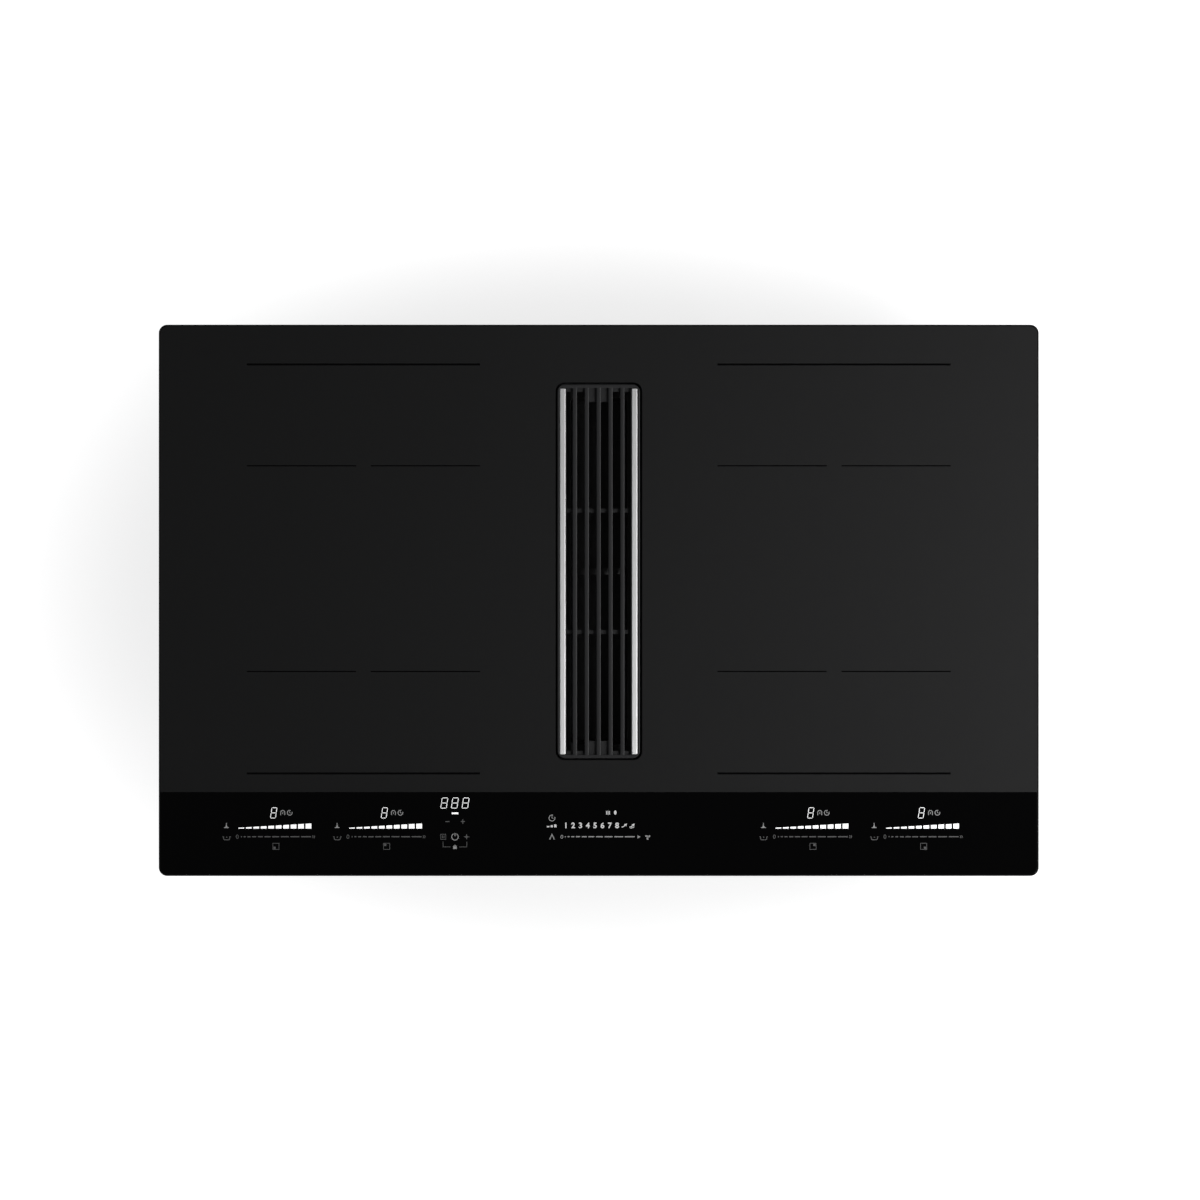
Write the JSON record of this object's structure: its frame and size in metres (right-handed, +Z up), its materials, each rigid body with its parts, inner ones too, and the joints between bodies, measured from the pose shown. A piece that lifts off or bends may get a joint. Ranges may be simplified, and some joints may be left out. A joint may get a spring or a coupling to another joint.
{
  "type": "downdraft induction cooktop",
  "caption": "Black glass built-in induction cooktop with a slotted centre grille, lift-out filter and drip tray, and a radial blower with flat-duct outlet under the casing.",
  "frame": {"origin": "centre of the outline, at the flat underside of the blower housing", "axes": "+X to the cook's right along the long side, +Y to the rear wall, +Z up out of the glass"},
  "size_m": [0.83, 0.52, 0.211],
  "materials": {
    "glass": "black glass-ceramic, matt top with gloss control strip",
    "silicone": "black silicone bead",
    "foam": "soft black foam strip",
    "galvanised": "zinc-coated sheet steel",
    "spring_steel": "bright spring steel",
    "aluminium": "mill-finish aluminium",
    "stainless": "satin stainless steel",
    "grille_black": "fine dark textured coating",
    "black_plastic": "black moulded plastic",
    "grey_plastic": "grey moulded plastic",
    "white_plastic": "off-white moulded plastic",
    "rubber": "black rubber",
    "copper": "lacquered copper litz wire",
    "felt": "pale insulating felt",
    "board": "green circuit board"
  },
  "bodies": {
    "hob": {"glass_plate": "glass", "glass_bond": "silicone", "worktop_seal": "foam", "casing_tray": "galvanised", "coil_winding_left_rear": "copper", "coil_carrier_left_rear": "aluminium", "coil_sensor_left_rear": "white_plastic", "fixing_clip_left_rear": "spring_steel", "coil_winding_left_front": "copper", "coil_carrier_left_front": "aluminium", "coil_sensor_left_front": "white_plastic", "fixing_clip_left_front": "spring_steel", "coil_winding_right_rear": "copper", "coil_carrier_right_rear": "aluminium", "coil_sensor_right_rear": "white_plastic", "fixing_clip_right_rear": "spring_steel", "coil_winding_right_front": "copper", "coil_carrier_right_front": "aluminium", "coil_sensor_right_front": "white_plastic", "fixing_clip_right_front": "spring_steel", "coil_rail_left": "spring_steel", "insulation_left": "felt", "power_board_left": "board", "heat_sink_left": "aluminium", "cooling_fan_frame_left": "black_plastic", "coil_rail_right": "spring_steel", "insulation_right": "felt", "power_board_right": "board", "heat_sink_right": "aluminium", "cooling_fan_frame_right": "black_plastic", "mains_filter_board": "board", "touch_carrier": "white_plastic", "touch_board": "board", "intake_channel": "black_plastic", "intake_gasket": "rubber", "blower_base": "black_plastic", "blower_cover": "black_plastic", "outlet_spigot": "black_plastic", "outlet_seal": "foam", "blower_motor": "galvanised", "motor_mount": "rubber", "intake_hood": "black_plastic", "terminal_box": "black_plastic", "terminal_block": "white_plastic", "terminal_pin": "stainless", "blower_control_box": "grey_plastic", "blower_control_cover": "grey_plastic"},
    "drip_tray": {"drip_tray": "stainless"},
    "grease_filter": {"grease_filter": "black_plastic", "filter_mesh_left": "aluminium", "filter_mesh_right": "aluminium"},
    "grille": {"grille": "grille_black", "grille_trim_left": "stainless", "grille_trim_right": "stainless"},
    "impeller": {"impeller": "grey_plastic", "impeller_hub": "grey_plastic", "motor_shaft": "stainless"},
    "fan_left": {"cooling_fan_rotor_left": "grey_plastic"},
    "fan_right": {"cooling_fan_rotor_right": "grey_plastic"},
    "terminal_cover": {"terminal_cover": "black_plastic"}
  },
  "joints": [
    {"name": "tray_lift", "type": "slide", "parent": "hob", "child": "drip_tray", "axis": [0, 0, 1], "range_m": [0, 0.13]},
    {"name": "filter_lift", "type": "slide", "parent": "drip_tray", "child": "grease_filter", "axis": [0, 0, 1], "range_m": [0, 0.11]},
    {"name": "grille_lift", "type": "slide", "parent": "grease_filter", "child": "grille", "axis": [0, 0, 1], "range_m": [0, 0.06]},
    {"name": "impeller_spin", "type": "hinge", "parent": "hob", "child": "impeller", "pos_m": [-0.05, -0.062, 0.05], "axis": [0, 0, 1], "continuous": true},
    {"name": "fan_left_spin", "type": "hinge", "parent": "hob", "child": "fan_left", "pos_m": [-0.125, 0.19, 0.16], "axis": [0, 0, 1], "continuous": true},
    {"name": "fan_right_spin", "type": "hinge", "parent": "hob", "child": "fan_right", "pos_m": [0.125, 0.19, 0.16], "axis": [0, 0, 1], "continuous": true},
    {"name": "terminal_cover_hinge", "type": "hinge", "parent": "hob", "child": "terminal_cover", "pos_m": [0.295, 0.2292, 0.1463], "axis": [1, 0, 0], "range_deg": [0, 90]}
  ]
}
